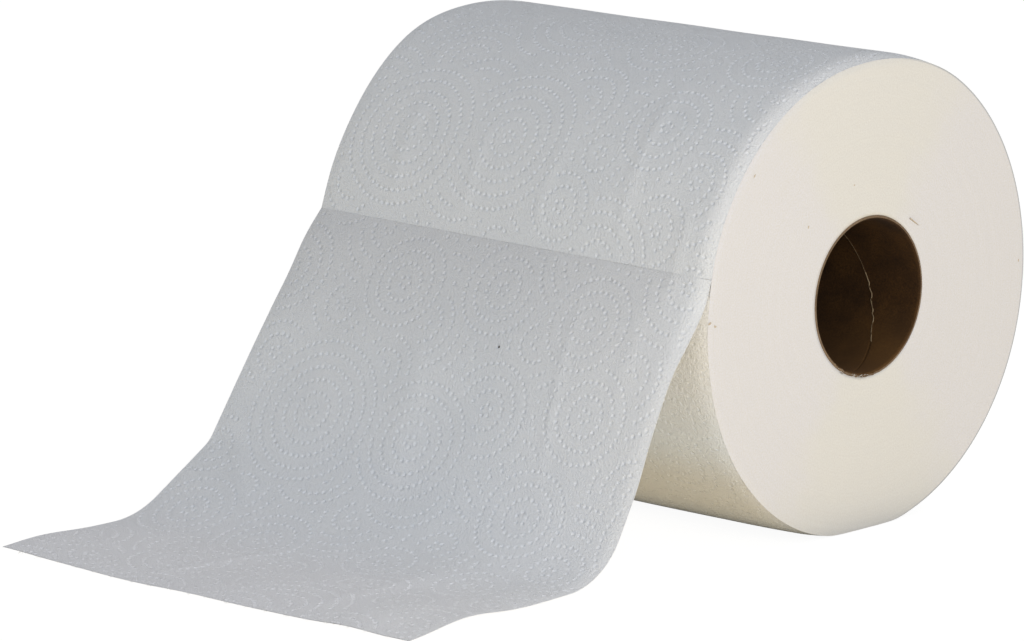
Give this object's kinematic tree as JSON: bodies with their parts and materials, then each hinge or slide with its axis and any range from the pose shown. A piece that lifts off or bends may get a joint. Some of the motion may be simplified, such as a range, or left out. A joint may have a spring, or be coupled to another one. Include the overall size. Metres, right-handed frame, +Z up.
{
  "type": "paper wiper roll",
  "caption": "Roll of embossed tissue wound on a board core, lying on its side, with its last perforated sheet pulled off and resting on the table.",
  "frame": {"origin": "middle of the flat spot under the roll, at table height", "axes": "+X along the core towards the roll's near end, +Z up, and the loose sheet comes off towards -Y"},
  "size_m": [0.22, 0.3698, 0.1943],
  "materials": {
    "tissue": "soft embossed matte",
    "core_board": "raw kraft board, matte"
  },
  "bodies": {
    "root": {"paper_web": "tissue", "core_tube": "core_board"}
  },
  "joints": []
}
